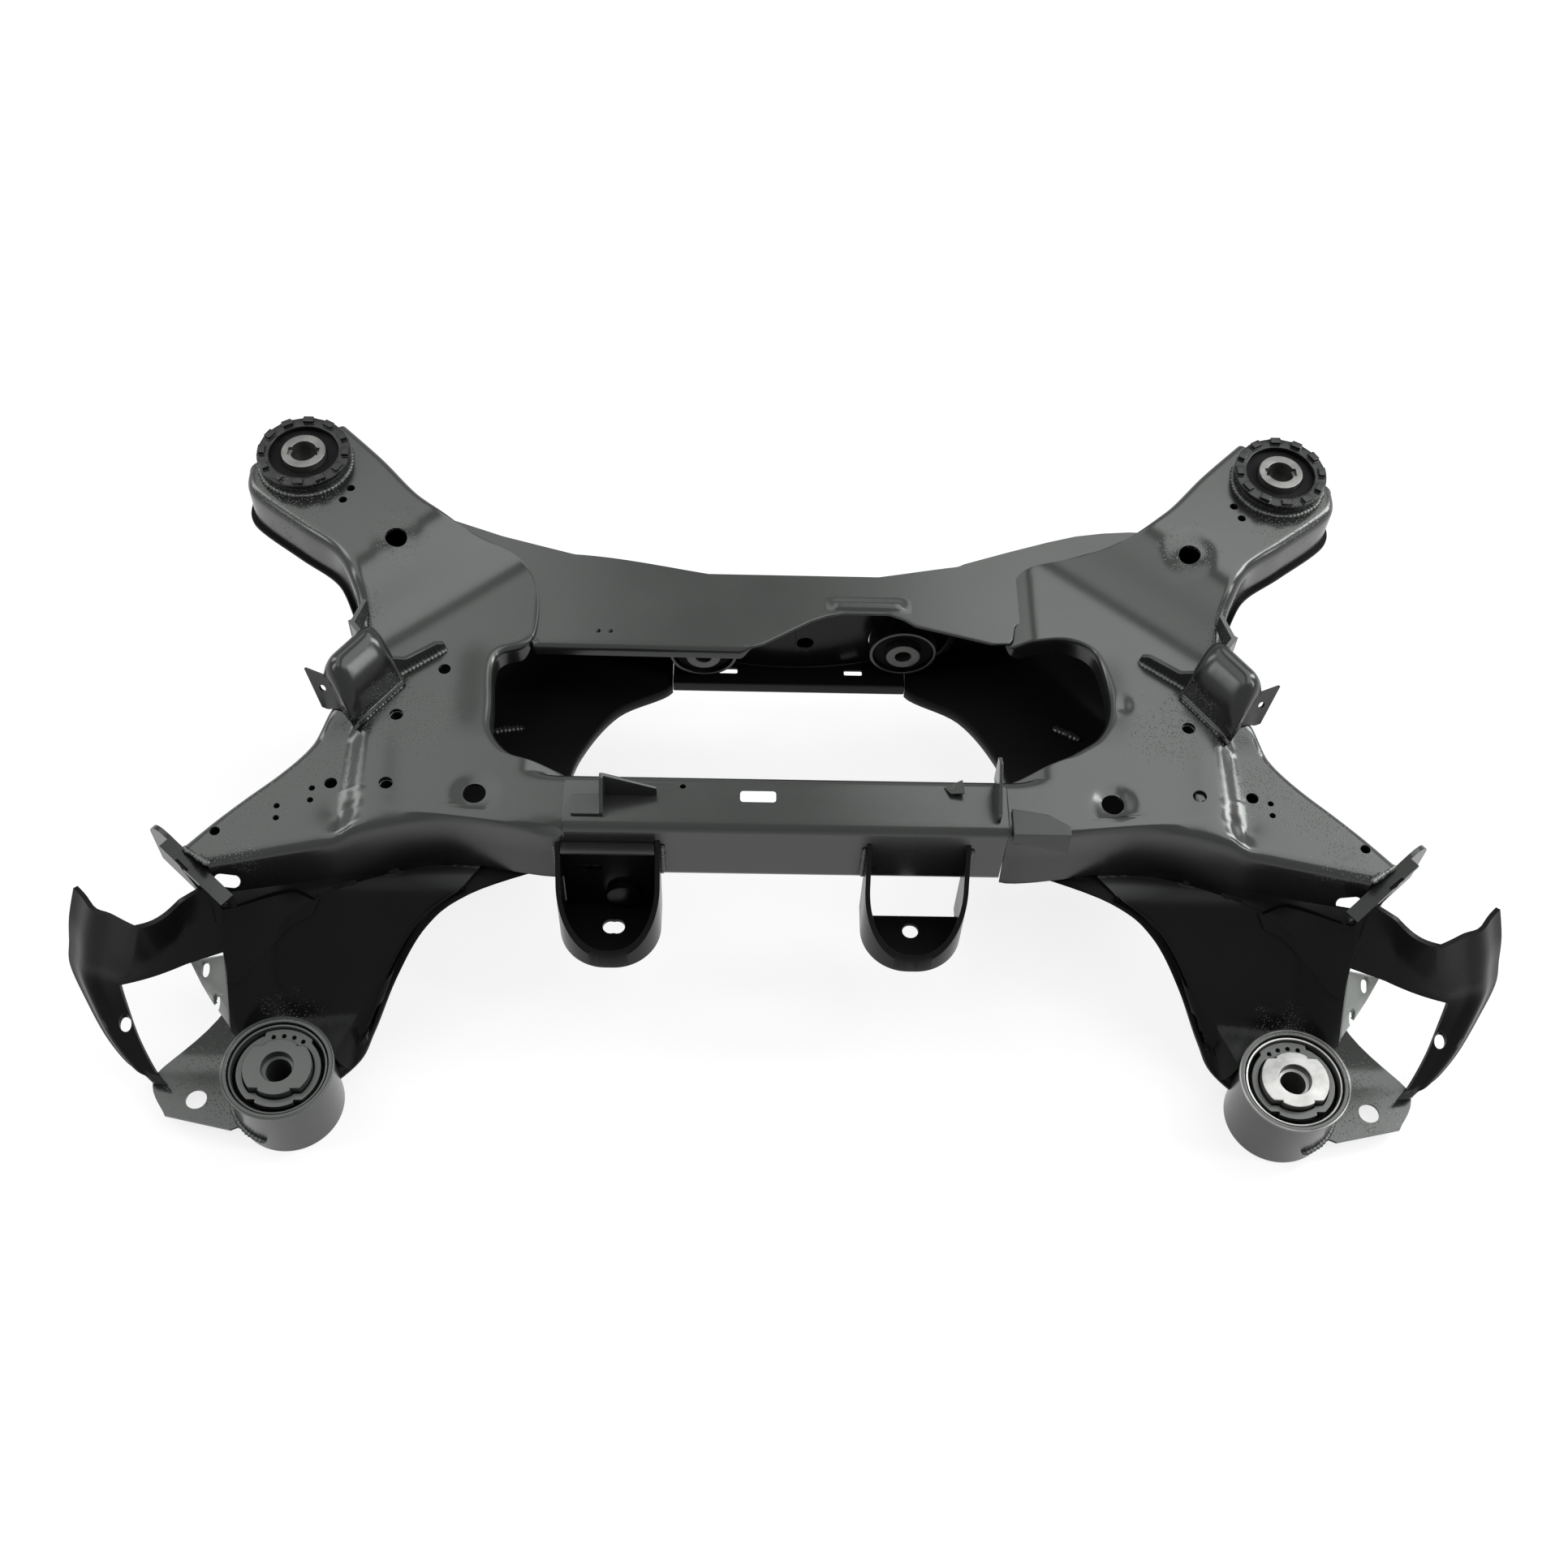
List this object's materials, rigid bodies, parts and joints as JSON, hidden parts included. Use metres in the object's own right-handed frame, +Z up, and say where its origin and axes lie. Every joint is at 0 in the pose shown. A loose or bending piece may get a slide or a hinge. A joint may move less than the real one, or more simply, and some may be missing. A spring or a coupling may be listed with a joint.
{
  "type": "rear suspension subframe",
  "caption": "Stamped steel rear suspension subframe with rubber-bushed body mounts, link brackets and an open centre, carrying the axle housing under a car body",
  "frame": {"origin": "midway between the two near body-mount axes, on the lower seat plane of their cores", "axes": "+X across the vehicle, +Y from the near mounts to the far mounts, +Z up"},
  "size_m": [1.144, 0.5703, 0.254],
  "materials": {
    "black_coat": "satin black dip coat",
    "rubber": "matte",
    "bush_metal": "dull",
    "bare_steel": "dull"
  },
  "bodies": {
    "root": {"near_crossmember": "black_coat", "far_top_panel": "black_coat", "far_rear_wall": "black_coat", "side_top_left": "black_coat", "side_top_right": "black_coat", "side_floor_left": "black_coat", "side_floor_right": "black_coat", "leg_left": "black_coat", "leg_right": "black_coat", "leg_cheek_left": "black_coat", "leg_cheek_right": "black_coat", "near_sleeve_left": "bare_steel", "near_sleeve_right": "bare_steel", "near_rubber_left": "rubber", "near_rubber_right": "rubber", "near_limiter_left": "bush_metal", "near_limiter_right": "bush_metal", "near_core_left": "bush_metal", "near_core_right": "bush_metal", "far_sleeve_left": "black_coat", "far_sleeve_right": "black_coat", "far_rubber_left": "rubber", "far_rubber_right": "rubber", "far_ring_left": "rubber", "far_ring_right": "rubber", "far_core_left": "bush_metal", "far_core_right": "bush_metal", "axle_sleeve_left": "bare_steel", "axle_sleeve_right": "bare_steel", "axle_rubber_left": "rubber", "axle_rubber_right": "rubber", "axle_core_left": "bare_steel", "axle_core_right": "bare_steel", "hanger_left": "black_coat", "hanger_right": "black_coat", "hanger_back_plate": "black_coat", "hanger_strap": "black_coat", "saddle_left": "black_coat", "saddle_right": "black_coat", "gusset_left": "black_coat", "gusset_right": "black_coat", "earlet_left": "black_coat", "earlet_right": "black_coat", "fork_inner_left": "black_coat", "fork_inner_right": "black_coat", "fork_outer_left": "black_coat", "fork_outer_right": "black_coat", "fork_web_left": "black_coat", "fork_web_right": "black_coat", "flag_bracket": "black_coat", "slotted_bracket": "black_coat", "overlap_tab": "black_coat", "weld_nuts": "bare_steel"}
  },
  "joints": []
}
